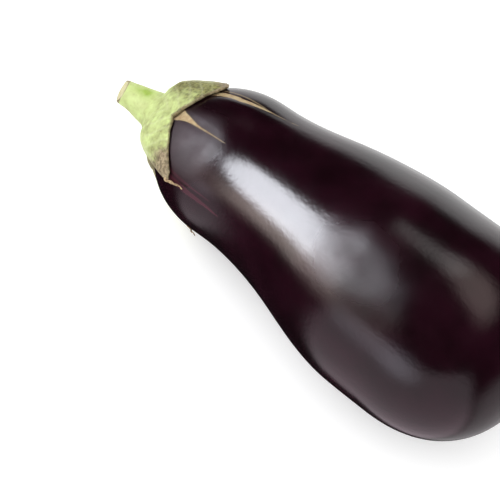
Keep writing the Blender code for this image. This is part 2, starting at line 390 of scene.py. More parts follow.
@dataclass
class Berry:
    """The fruit: profile, sideways bow and the fine relief of its skin.

    Its sizes repeat those of the CAD fruit, and its place comes from that fruit's box. The
    other fields are sizes of the skin's relief, and of the places where it is streaked,
    matte, worn or scarred.
    """

    length: float = 193.5 * MM
    neck_radius: float = 33.0 * MM
    belly_radius: float = 46.0 * MM
    swell_start: float = 42.5 * MM
    swell_length: float = 83.5 * MM
    shoulder_length: float = 37.5 * MM
    shoulder_bluntness: float = 2.1
    end_length: float = 48.5 * MM
    end_bluntness: float = 2.35
    bow: float = 3.8 * MM
    bow_centre: float = 72.5 * MM
    bow_spread_to_top: float = 90.0 * MM
    bow_spread_to_end: float = 35.0 * MM
    floor_softness: float = 0.25 * MM
    broad_height: float = 0.16 * MM
    broad_size: float = 34.0 * MM
    ripple_height: float = 0.022 * MM
    ripple_size: float = 11.0 * MM
    rib_height: float = 0.12 * MM
    rib_fade: float = 75.0 * MM
    flank_stops: tuple[float, float, float, float] = (56.0 * MM, 98.0 * MM, 122.0 * MM, 177.0 * MM)
    flank_height: float = 1.4 * MM
    flank_roll: float = -8.0
    flank_spread: float = 32.0
    furrow_depth: float = 0.30 * MM
    furrow_width: float = 2.2 * MM
    furrow_beyond: float = 8.0 * MM
    matte_end: float = 62.0 * MM
    matte_fade: float = 14.0 * MM
    matte_roll: float = -28.0
    matte_spread: float = 22.0
    worn_place: float = 121.0 * MM
    worn_length: float = 18.0 * MM
    worn_roll: float = -21.0
    worn_spread: float = 17.0
    worn_strength: float = 0.92
    scar_radius: float = 3.4 * MM
    dimple_depth: float = 1.3 * MM
    dimple_width: float = 8.0 * MM
    knob_height: float = 0.7 * MM
    knob_width: float = 2.2 * MM
    fray_size: float = 2.5 * MM
    broken_from: float = 58.0 * MM
    broken_over: float = 16.0 * MM
    streaks: tuple[Streak, ...] = (
        Streak(-10.6, -13.6, 23.0 * MM, 47.5 * MM, 3.9 * MM, 1.6, 1.0),
        Streak(-13.4, -13.0, 43.0 * MM, 58.0 * MM, 0.42 * MM, 0.5, 0.55),
        Streak(24.4, 26.6, 28.0 * MM, 50.0 * MM, 1.75 * MM, 0.22, 0.95),
        Streak(26.2, 32.6, 48.0 * MM, 62.5 * MM, 1.25 * MM, 0.75, 0.95),
        Streak(32.0, 35.0, 60.0 * MM, 76.0 * MM, 0.40 * MM, 0.5, 0.35),
        Streak(75.0, 79.0, 22.0 * MM, 49.0 * MM, 3.0 * MM, 1.3, 1.0),
        Streak(141.0, 138.0, 22.0 * MM, 53.0 * MM, 2.8 * MM, 1.5, 1.0),
        Streak(-148.0, -150.0, 22.0 * MM, 47.0 * MM, 2.6 * MM, 1.2, 1.0),
    )
    blushes: tuple[Streak, ...] = (
        Streak(-60.0, -61.5, 48.0 * MM, 72.0 * MM, 1.5 * MM, 0.6, 0.55),
        Streak(-54.5, -55.5, 50.0 * MM, 66.0 * MM, 0.7 * MM, 0.6, 0.4),
        Streak(112.0, 109.0, 44.0 * MM, 72.0 * MM, 1.2 * MM, 0.6, 0.5),
    )
    shift: np.ndarray = field(default_factory=lambda: np.zeros(3))

    def __post_init__(self) -> None:
        """Measure the profile, and find where the CAD fruit lies."""
        turn = np.linspace(0.0, math.pi, 4001)
        self.line_x = self.length * (1.0 - np.cos(turn)) / 2.0
        self.line_radius = self.radius(self.line_x)
        steps = np.hypot(np.diff(self.line_x), np.diff(self.line_radius))
        self.line_reach = np.concatenate([[0.0], np.cumsum(steps)])
        self.full_reach = float(self.line_reach[-1])
        self.out_x = -np.gradient(self.line_radius, self.line_reach)
        self.out_radius = np.gradient(self.line_x, self.line_reach)
        self.shift = self.find_shift()

    def radius(self, x: np.ndarray) -> np.ndarray:
        """Radius of the fruit: neck, smooth swell to the belly, and two rounded ends.

        Args:
            x: place along the axis.

        Returns:
            The radius there.
        """
        swell = ease((x - self.swell_start) / self.swell_length)
        radius = self.neck_radius + (self.belly_radius - self.neck_radius) * swell
        top = rounded_end(x / self.shoulder_length, self.shoulder_bluntness)
        bottom = rounded_end((self.length - x) / self.end_length, self.end_bluntness)
        return radius * top * bottom

    def bow_at(self, x: np.ndarray) -> np.ndarray:
        """Sideways place of the axis: a bell with a different spread on each side."""
        spread = np.where(x < self.bow_centre, self.bow_spread_to_top, self.bow_spread_to_end)
        return self.bow * bell((x - self.bow_centre) / spread)

    def around(self, x: np.ndarray, radius: np.ndarray, roll: np.ndarray) -> np.ndarray:
        """Points in the fruit's own frame, (x, r sin(roll) + bow, r cos(roll)).

        Args:
            x: place along the axis.
            radius: distance from the axis.
            roll: roll angle.

        Returns:
            Points, with xyz on a new last axis.
        """
        turn = np.radians(roll)
        x, radius, turn = np.broadcast_arrays(x, radius, turn)
        y = radius * np.sin(turn) + self.bow_at(x)
        return np.stack([x, y, radius * np.cos(turn)], axis=-1)

    def over_skin(self, reach: np.ndarray, proud: np.ndarray, roll: np.ndarray) -> np.ndarray:
        """Points at a height above the smooth skin, square to the profile.

        Args:
            reach: length of skin from the top.
            proud: height above the smooth skin.
            roll: roll angle.

        Returns:
            Points in the fruit's own frame.
        """
        return self.around(*self.off_skin(reach, proud), roll)

    def x_at(self, reach: np.ndarray) -> np.ndarray:
        """Place along the axis at a reach."""
        return np.interp(reach, self.line_reach, self.line_x)

    def radius_at(self, reach: np.ndarray) -> np.ndarray:
        """Radius of the smooth skin at a reach."""
        return np.interp(reach, self.line_reach, self.line_radius)

    def off_skin(self, reach: np.ndarray, proud: np.ndarray) -> tuple[np.ndarray, np.ndarray]:
        """Profile at a height above the smooth skin, measured square to it.

        Args:
            reach: length of skin from the top.
            proud: height above the smooth skin.

        Returns:
            The place along the axis and the radius.
        """
        out_x = np.interp(reach, self.line_reach, self.out_x)
        out_radius = np.interp(reach, self.line_reach, self.out_radius)
        return self.x_at(reach) + proud * out_x, self.radius_at(reach) + proud * out_radius

    def levelled(self, points: np.ndarray) -> np.ndarray:
        """Points turned about Y by the axis's tilt, which lifts the belly end.

        Args:
            points: in the fruit's own frame.

        Returns:
            The turned points.
        """
        turn = math.radians(AXIS_TILT)
        x = points[..., 0] * math.cos(turn) - points[..., 2] * math.sin(turn)
        z = points[..., 0] * math.sin(turn) + points[..., 2] * math.cos(turn)
        return np.stack([x, points[..., 1], z], axis=-1)

    def find_shift(self) -> np.ndarray:
        """Move from the levelled frame to the world, from the box of the CAD fruit.

        The top, the belly end and the two sides of the box are matched. The underside isn't,
        because the flat spot is cut from it.

        Returns:
            The move, as xyz.
        """
        low, high = (np.array(corner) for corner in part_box("fruit"))
        roll = np.arange(0.0, 360.0, 1.0)[None, :]
        bare = self.levelled(self.around(self.line_x[:, None], self.line_radius[:, None], roll))
        bare = bare.reshape(-1, 3)
        sideways = (low[1] + high[1] - bare[:, 1].min() - bare[:, 1].max()) / 2.0
        return np.array([high[0] - bare[:, 0].max(), sideways, high[2] - bare[:, 2].max()])

    def place(self, points: np.ndarray) -> np.ndarray:
        """World places of points in the fruit's own frame, none of them under the floor.

        A height z becomes (z + sqrt(z^2 + s^2)) / 2 with a small s, which leaves high points
        as they are and rounds off what would sink into the floor.

        Args:
            points: in the fruit's own frame.

        Returns:
            Their world places.
        """
        world = self.levelled(points) + self.shift
        height = world[..., 2]
        world[..., 2] = (height + np.sqrt(height**2 + self.floor_softness**2)) / 2.0
        return world

    def relief(self, reach: np.ndarray, roll: np.ndarray) -> np.ndarray:
        """Height of the real skin over the smooth one.

        Broad swells of the flesh, the hollow flank, soft ribs that fade down the neck, a
        shallow furrow along each pale streak, and the dimple and corky knob of the scar.

        Args:
            reach: length of skin from the top.
            roll: roll angle.

        Returns:
            Height, positive outwards.
        """
        base = self.over_skin(reach, 0.0, roll)
        radius = self.radius_at(reach)
        broad = self.broad_height * lattice_noise(base, self.broad_size, 3)
        broad = broad + self.flank(self.x_at(reach), roll)
        ripple = self.ripple_height * lattice_noise(base, self.ripple_size, 7)
        ribs = self.rib_height * rib_wave(roll) * bell(reach / self.rib_fade)
        furrow = np.zeros(np.broadcast(reach, roll).shape)
        for streak in self.streaks:
            length = streak.end + self.furrow_beyond - streak.start
            t = np.clip((reach - streak.start) / length, 0.0, 1.0)
            aside = np.radians(roll_gap(roll, streak.middle(t))) * radius
            depth = self.furrow_depth * streak.strength
            furrow -= depth * bell(aside / self.furrow_width) * (1.0 - ease(t))
        left = self.full_reach - reach
        dimple = self.dimple_depth * bell(left / self.dimple_width)
        knob = self.knob_height * bell(left / self.knob_width)
        inside = ease(reach / (12.0 * MM))
        fade = inside * ease(left / (6.0 * MM))
        return (broad + ripple + ribs + furrow) * fade - dimple + knob

    def flank(self, x: np.ndarray, roll: np.ndarray) -> np.ndarray:
        """Height of the hollow in the upper flank and of the swell between it and the belly.

        Along the axis, three smooth steps take it from 0 at the first stop to -1 at the
        second, to +1 at the third and back to 0 at the fourth. Round the axis it is a bell.

        Args:
            x: place along the axis.
            roll: roll angle.

        Returns:
            Height, positive outwards.
        """
        start, low, high, end = self.flank_stops
        down = ease((x - start) / (low - start))
        up = 2.0 * ease((x - low) / (high - low))
        back = ease((x - high) / (end - high))
        height = self.flank_height * (up - down - back)
        return height * near_roll(roll, self.flank_roll, self.flank_spread)

    def matte(
        self, reach: np.ndarray, roll: np.ndarray, points: np.ndarray, fray: np.ndarray
    ) -> np.ndarray:
        """How far the skin has lost its gloss.

        The shoulder is matte from the calyx to an uneven line, on one side of the fruit. A
        worn patch on the upper flank fades as a bell along the axis and round it.

        Args:
            reach: length of skin from the top.
            roll: roll angle.
            points: the skin's points.
            fray: noise that makes it uneven.

        Returns:
            0 where the skin is glossy, about 1 where it is matte.
        """
        patchy = layered_noise(points, 7.0 * MM, 35)
        line = self.matte_end + 3.0 * MM * patchy
        shoulder = ease((line - reach) / self.matte_fade) * (1.0 - 0.15 * fray)
        shoulder *= np.clip(1.8 * near_roll(roll, self.matte_roll, self.matte_spread), 0.0, 1.0)
        worn = bell((self.x_at(reach) - self.worn_place) / self.worn_length)
        worn = self.worn_strength * worn * near_roll(roll, self.worn_roll, self.worn_spread)
        return np.maximum(shoulder, worn * (1.0 + 0.3 * patchy))

    def skin_values(
        self, reach: np.ndarray, roll: np.ndarray, points: np.ndarray
    ) -> dict[str, np.ndarray]:
        """Pale streaks, pink blushes, corky scar and matte places of the skin.

        Args:
            reach: length of skin from the top.
            roll: roll angle.
            points: the skin's points.

        Returns:
            One array of rings and columns for each value.
        """
        radius = self.radius_at(reach)
        fray = layered_noise(points, self.fray_size, 21)
        stripe, blush = (
            np.max([streak.cover(reach, roll, radius, fray) for streak in group], axis=0)
            for group in (self.streaks, self.blushes)
        )
        gaps = ease(0.5 + 2.5 * lattice_noise(points, 3.0 * MM, 29))
        broken = ease((reach - self.broken_from) / self.broken_over)
        ragged = self.scar_radius + 1.0 * MM * layered_noise(points, 2.0 * MM, 33)
        return {
            "stripe": stripe * (1.0 - broken * gaps),
            "blush": blush,
            "scar": ease(0.5 + (ragged - (self.full_reach - reach)) / (0.8 * MM)),
            "dull": self.matte(reach, roll, points, fray),
        }

    def build(self, finish: "SkinFinish") -> bpy.types.Object:
        """Make the fruit, with its streaks, blushes and scar as values on its corners.

        Args:
            finish: of the skin.

        Returns:
            The piece.
        """
        end = self.full_reach
        reach_stops = [(0.5 * MM, 1.6), (22.0 * MM, 0.5), (78.0 * MM, 0.6), (100.0 * MM, 1.5)]
        reach_stops += [(end - 12.0 * MM, 1.6), (end - 0.3 * MM, 0.4)]
        roll_stops = [(-180.0, 1.5), (-75.0, 1.2), (-70.0, 0.6), (-50.0, 0.6), (-26.0, 0.42)]
        roll_stops += [(36.0, 0.42), (45.0, 1.3), (180.0, 1.5)]
        reach = graded(reach_stops, 225)[:, None]
        roll = graded(roll_stops, 380, closed=True)[None, :]
        points = self.over_skin(reach, self.relief(reach, roll), roll)
        first = self.place(self.around(0.0, 0.0, 0.0))
        last = self.place(self.over_skin(end, self.relief(end, 0.0), 0.0))
        shell = Shell.through(first, self.place(points), last)
        piece = shell.piece("eggplant_fruit", self.skin_values(reach, roll, points))
        piece.data.materials.append(finish.material())
        return piece


@dataclass
class Greens:
    """The calyx and the stem, which are one surface that flows from the cut to the lobes.

    On the cap a place is given by its reach, and up the stem by its share of the stem's length
    from the collar where the CAD stem meets the CAD calyx.
    """

    berry: Berry
    edge_thickness: float = 1.4 * MM
    rim_thickness: float = 0.55 * MM
    thinning_width: float = 7.0 * MM
    skin_gap: float = 0.3 * MM
    collar_rise: float = 10.5 * MM
    flare_reach: float = 8.5 * MM
    ridge_height: float = 2.6 * MM
    ridge_centre: float = 17.5 * MM
    ridge_spread: float = 9.5 * MM
    collar_start: float = 6.523 * MM
    base_radius: float = 8.8 * MM
    end_radius: float = 5.5 * MM
    stem_length: float = 17.2 * MM
    stem_bend: float = 34.0
    bend_roll: float = -35.0
    stem_hollow: float = 1.35
    lump_size: float = 4.2 * MM
    lump_height: float = 0.20 * MM
    pit_size: float = 1.1 * MM
    pit_depth: float = 0.11 * MM
    hump_height: float = 2.6 * MM
    hump_roll: float = 62.0
    hump_turn: float = 42.0
    hump_reach: float = 12.0 * MM
    hump_spread: float = 6.0 * MM
    tips: tuple[float, ...] = (-129.0, -62.0, 38.0, 108.0, 180.0)
    notches: tuple[float, ...] = (-155.0, -116.0, -76.0, -17.0, 74.0, 142.0)
    outline: tuple[tuple[float, float], ...] = (
        (-155.0, 27.0), (-142.0, 42.0), (-129.0, 53.0), (-123.5, 50.0), (-121.5, 44.0),
        (-121.0, 22.0), (-76.0, 20.0), (-69.0, 24.5), (-65.0, 30.5), (-63.6, 40.5), (-61.0, 43.8),
        (-55.0, 42.8), (-46.5, 38.7), (-30.0, 31.8), (-21.0, 28.7), (-16.0, 25.4), (-7.5, 27.9),
        (2.8, 31.3), (14.8, 33.6), (24.2, 35.7), (33.5, 37.4), (39.0, 35.6), (56.0, 29.0),
        (74.0, 25.0), (90.0, 33.0), (108.0, 43.0), (124.0, 34.0), (142.0, 26.0), (160.0, 36.0),
        (180.0, 48.0),
    )

    def lobe_share(self, roll: np.ndarray) -> np.ndarray:
        """1 at the tip of each sepal and 0 in the notches, by straight lines between them.

        Args:
            roll: roll angle.

        Returns:
            The share at each roll angle.
        """
        heights = [1.0] * len(self.tips) + [0.0] * len(self.notches)
        return np.interp(roll, self.tips + self.notches, heights, period=360.0)

    def midrib(self, roll: np.ndarray) -> np.ndarray:
        """1 along the middle of each sepal, 0 in line with the notches."""
        return ease(self.lobe_share(roll))

    def edge(self, roll: np.ndarray) -> np.ndarray:
        """Reach of the sepals' edge: straight lines between the outline's points, made uneven.

        Args:
            roll: roll angle.

        Returns:
            The reach at each roll angle.
        """
        points = np.array(self.outline)
        straight = np.interp(roll, points[:, 0], points[:, 1] * MM, period=360.0)
        ring = on_circle(roll)
        uneven = 0.42 * MM * lattice_noise(ring, 0.09, 41)
        uneven += 0.24 * MM * lattice_noise(ring, 0.035, 43)
        return straight + uneven * (0.35 + self.lobe_share(roll))

    def thickness(self, inward: np.ndarray) -> np.ndarray:
        """Thickness of the sepals, from their thin edge to the full flesh further in."""
        flesh = self.edge_thickness - self.rim_thickness
        return self.rim_thickness + flesh * ease(inward / self.thinning_width)

    def flare(self, reach: np.ndarray) -> np.ndarray:
        """Extra thickness towards the stem, a decaying exponential of the reach."""
        return self.collar_rise * np.exp(-(reach - self.collar_start) / self.flare_reach)

    def crest(self, reach: np.ndarray, roll: np.ndarray) -> np.ndarray:
        """Height of the ridge down each sepal's middle, and of the hump beside the stem.

        Both are bells of the reach that start from nothing at the collar. The hump is a bell
        of the roll angle too.

        Args:
            reach: length of skin from the top.
            roll: roll angle.

        Returns:
            Height over the plain cap.
        """
        from_collar = reach - self.collar_start
        ridge = bell((reach - self.ridge_centre) / self.ridge_spread)
        ridge = self.ridge_height * ridge * ease(from_collar / self.ridge_spread)
        hump = bell((reach - self.hump_reach) / self.hump_spread)
        hump = self.hump_height * hump * near_roll(roll, self.hump_roll, self.hump_turn)
        return self.midrib(roll) * ridge + hump * ease(from_collar / (3.5 * MM))

    def cap_points(self, reach: np.ndarray, proud: np.ndarray, roll: np.ndarray) -> np.ndarray:
        """Points over the real skin of the fruit, in its own frame."""
        return self.berry.over_skin(reach, proud + self.berry.relief(reach, roll), roll)

    def stem_points(self, share: np.ndarray, radius: np.ndarray, roll: np.ndarray) -> np.ndarray:
        """Points of the stem, on rings square to an arc that leaves the collar along the axis.

        Args:
            share: place along the stem, 0 at the collar and 1 at the cut end.
            radius: distance from the arc.
            roll: roll angle.

        Returns:
            Points in the fruit's own frame.
        """
        bend = math.radians(self.stem_bend)
        side = math.radians(self.bend_roll)
        turned = bend * np.asarray(share)[..., None]
        arc = self.stem_length / bend
        towards = np.array([0.0, math.sin(side), math.cos(side)])
        away = np.array([-1.0, 0.0, 0.0])
        across = np.cross(away, towards)
        collar_x, _ = self.collar()
        base = self.berry.around(collar_x, 0.0, 0.0)
        centre = base + arc * (np.sin(turned) * away + (1.0 - np.cos(turned)) * towards)
        upward = np.cos(turned) * towards - np.sin(turned) * away
        angle = np.radians(roll - self.bend_roll)[..., None]
        outward = np.cos(angle) * upward + np.sin(angle) * across
        return centre + np.asarray(radius)[..., None] * outward

    def collar(self) -> tuple[float, float]:
        """Profile of the collar's rim.

        Returns:
            Its place along the axis, and its radius.
        """
        proud = self.skin_gap + self.edge_thickness + self.collar_rise
        x, radius = self.berry.off_skin(self.collar_start, proud)
        return float(x), float(radius)

    def bumps(self, points: np.ndarray) -> np.ndarray:
        """Uneven flesh: soft lumps of a few millimetres and pits about a millimetre wide.

        Args:
            points: of the smooth surface.

        Returns:
            Height over it.
        """
        lumps = layered_noise(points, self.lump_size, 51, 2)
        pits = np.minimum(lattice_noise(points, self.pit_size, 57) + 0.25, 0.0)
        return self.lump_height * lumps + self.pit_depth * pits

    def columns(self) -> np.ndarray:
        """Roll angles of the columns, crowded where the lobes' tips are.

        Returns:
            One row of roll angles.
        """
        stops = [(-180.0, 0.6), (-155.0, 1.0), (-127.0, 0.40), (-118.0, 0.40), (-98.0, 0.7)]
        stops += [(-66.0, 0.45), (-56.0, 0.45), (-17.0, 0.6), (30.0, 0.5), (45.0, 0.5), (74.0, 0.9)]
        stops += [(104.0, 0.6)]
        stops += [(112.0, 0.6), (142.0, 1.0), (174.0, 0.6), (180.0, 0.6)]
        return graded(stops, 480, closed=True)[None, :]


@dataclass
class Cap:
    """The calyx: outside from the collar to the lobes, a rounded rim, and the inside."""

    greens: Greens
    rim_round: float = 0.35 * MM
    tuck: float = 0.12 * MM
    curl_fade: float = 2.6 * MM
    wrinkle_size: float = 1.15 * MM
    wrinkle_height: float = 0.10 * MM
    wrinkle_from: float = 22.0 * MM

    def lift(self, inward: np.ndarray, roll: np.ndarray) -> np.ndarray:
        """Height by which the drying edge has curled off the skin.

        It decays as an exponential of the distance from the edge. It is largest at the tips,
        most of all beside the one on top, and close to nothing on the sepal at roll -120.

        Args:
            inward: distance from the edge.
            roll: roll angle.

        Returns:
            The height.
        """
        wave = 0.5 + 0.5 * lattice_noise(on_circle(roll), 0.16, 61)
        tip = ease((self.greens.lobe_share(roll) - 0.55) / 0.45)
        edge_lift = 0.18 * MM + 0.30 * MM * wave + 0.35 * MM * tip
        edge_lift += 0.35 * MM * near_roll(roll, 30.0, 9.0)
        edge_lift *= 1.0 - 0.9 * near_roll(roll, -120.0, 20.0)
        return edge_lift * np.exp(-inward / self.curl_fade)

    def build(self, finish: "LeafFinish") -> bpy.types.Object:
        """Make the calyx, with its dryness, veins and shade as values on its corners.

        Args:
            finish: of the fleshy green.

        Returns:
            The piece.
        """
        greens = self.greens
        berry = greens.berry
        roll = greens.columns()
        edge = greens.edge(roll)
        start = greens.collar_start
        share_stops = [(0.0, 1.0), (0.5, 1.0), (0.9, 0.6), (0.985, 0.12), (1.0, 0.10)]
        share = graded(share_stops, 120)[:, None]
        reach = start + (edge - start) * share
        inward = edge - reach
        flesh = greens.thickness(inward)
        rim = rounded_end(inward / self.rim_round, 2.6)
        smooth = greens.skin_gap + self.lift(inward, roll) + flesh * rim
        smooth = smooth + greens.flare(reach) + greens.crest(reach, roll)
        base = greens.cap_points(reach, smooth, roll)
        wrinkle = np.sin(reach / self.wrinkle_size + 3.0 * layered_noise(base, 6.0 * MM, 77))
        wrinkle *= self.wrinkle_height * greens.midrib(roll)
        wrinkle *= ease((reach - self.wrinkle_from) / (12.0 * MM))
        full = flesh / greens.edge_thickness * (0.25 + 0.75 * ease((reach - start) / (1.2 * MM)))
        proud = smooth + (greens.bumps(base) + wrinkle) * rim * full
        outside = greens.cap_points(reach, proud, roll)
        back = graded([(0.0, 0.10), (0.03, 0.25), (0.3, 1.0), (1.0, 1.6)], 26)[1:-1, None]
        under_reach = edge * (1.0 - back)
        under = greens.skin_gap + self.lift(edge - under_reach, roll)
        inside = greens.cap_points(under_reach, under, roll)
        neck = self.neck_rings(roll)
        rings = np.concatenate([neck, outside, inside])
        values = self.tissue_values(roll, reach, edge, outside, len(neck), len(under_reach))
        collar_x, _ = greens.collar()
        first = berry.place(berry.around(collar_x - 1.0 * MM, 0.0, 0.0))
        last = berry.place(berry.around(-greens.skin_gap, 0.0, 0.0))
        piece = Shell.through(first, berry.place(rings), last).piece("eggplant_calyx", values)
        piece.data.materials.append(finish.material())
        return piece

    def neck_rings(self, roll: np.ndarray) -> np.ndarray:
        """Two rings of the calyx that are tucked just under the stem's surface.

        Args:
            roll: roll angles of the columns.

        Returns:
            Their points.
        """
        greens = self.greens
        share = np.array([0.06, 0.03])[:, None]
        radius = stalk_radius(greens, share) - self.tuck * np.array([3.0, 1.0])[:, None]
        share, radius, roll = np.broadcast_arrays(share, radius, roll)
        return greens.stem_points(share, radius, roll)

    def tissue_values(
        self,
        roll: np.ndarray,
        reach: np.ndarray,
        edge: np.ndarray,
        outside: np.ndarray,
        before: int,
        after: int,
    ) -> dict[str, np.ndarray]:
        """Dryness, veins and shade of the calyx, for all its rings.

        Args:
            roll: roll angles of the columns.
            reach: reach of the outside's corners.
            edge: reach of the edge at each column.
            outside: the outside's points.
            before: rings before the outside.
            after: rings after the outside.

        Returns:
            One array of rings and columns for each value.
        """
        greens = self.greens
        inward = edge - reach
        patchy = layered_noise(outside, 5.0 * MM, 81)
        fine = layered_noise(outside, 1.6 * MM, 83)
        fibres = layered_noise(berry_fibres(roll, reach), 1.0, 85)
        band = 0.7 * MM + 0.35 * MM * patchy
        band = band + 1.6 * MM * ease((greens.lobe_share(roll) - 0.6) / 0.4)
        band = band * (1.0 - 0.85 * near_roll(roll, -27.0, 11.0))
        dry = 0.75 * ease(0.5 + (band - inward) / (1.3 * MM))
        withered = (reach - self.withered_from(roll)) / (8.0 * MM) + 0.55 * fibres
        dry = np.maximum(dry, 0.9 * ease(withered))
        far_lobe = 0.95 * near_roll(roll, -122.0, 7.0) * ease((reach - 16.0 * MM) / (8.0 * MM))
        dry = np.maximum(dry, far_lobe)
        dry = np.maximum(dry, 0.6 * ease((patchy + 0.5 * fine - 0.72) / 0.25))
        aside = self.aside_of_midrib(roll, reach)
        lateral = (reach - 0.75 * np.abs(aside)) / (5.2 * MM) + 0.22 * patchy
        branch = bell((lateral % 1.0 - 0.5) / 0.10) * ease(np.abs(aside) / (1.0 * MM))
        vein = np.maximum(bell(aside / (0.9 * MM)), 0.5 * branch)
        vein = vein * ease((reach - 9.0 * MM) / (8.0 * MM))
        olive = ease((reach - 18.0 * MM) / (20.0 * MM)) * 0.40
        olive = olive + 1.8 * near_roll(roll, 46.0, 34.0) * ease((reach - 11.0 * MM) / (6.0 * MM))
        olive = np.clip(olive + 0.65 * patchy + 0.45 * fine, 0.0, 1.0)
        grids = {"dry": dry, "vein": vein, "olive": olive}
        lining = {"dry": 0.75, "vein": 0.0, "olive": 0.8}
        columns = reach.shape[1]
        return {
            label: np.concatenate(
                [np.zeros((before, columns)), grid, np.full((after, columns), lining[label])]
            )
            for label, grid in grids.items()
        }

    def withered_from(self, roll: np.ndarray) -> np.ndarray:
        """Reach from which each sepal has withered, by straight lines between roll angles.

        Args:
            roll: roll angles of the columns.

        Returns:
            The reach at each.
        """
        rolls = [-119.0, -98.0, -74.0, -50.0, -30.0, -17.0, 20.0, 38.0, 74.0, 108.0, 142.0, 180.0]
        reaches = [42.0, 40.0, 24.0, 28.0, 36.0, 50.0, 38.0, 27.0, 34.0, 36.0, 44.0, 41.0]
        return np.interp(roll, rolls, reaches, period=360.0) * MM

    def aside_of_midrib(self, roll: np.ndarray, reach: np.ndarray) -> np.ndarray:
        """Signed distance across the skin from the nearest sepal's middle line.

        Args:
            roll: roll angle.
            reach: length of skin from the top.

        Returns:
            The distance.
        """
        gaps = np.stack([roll_gap(roll, tip) for tip in self.greens.tips])
        nearest = np.take_along_axis(gaps, np.abs(gaps).argmin(axis=0)[None], axis=0)[0]
        return np.radians(nearest) * self.greens.berry.radius_at(reach)


def stalk_radius(greens: Greens, share: np.ndarray) -> np.ndarray:
    """Radius of the stem, end + (base - end) (1 - share)^hollow, like a trumpet."""
    narrowing = np.clip(1.0 - share, 0.0, None) ** greens.stem_hollow
    return greens.end_radius + (greens.base_radius - greens.end_radius) * narrowing


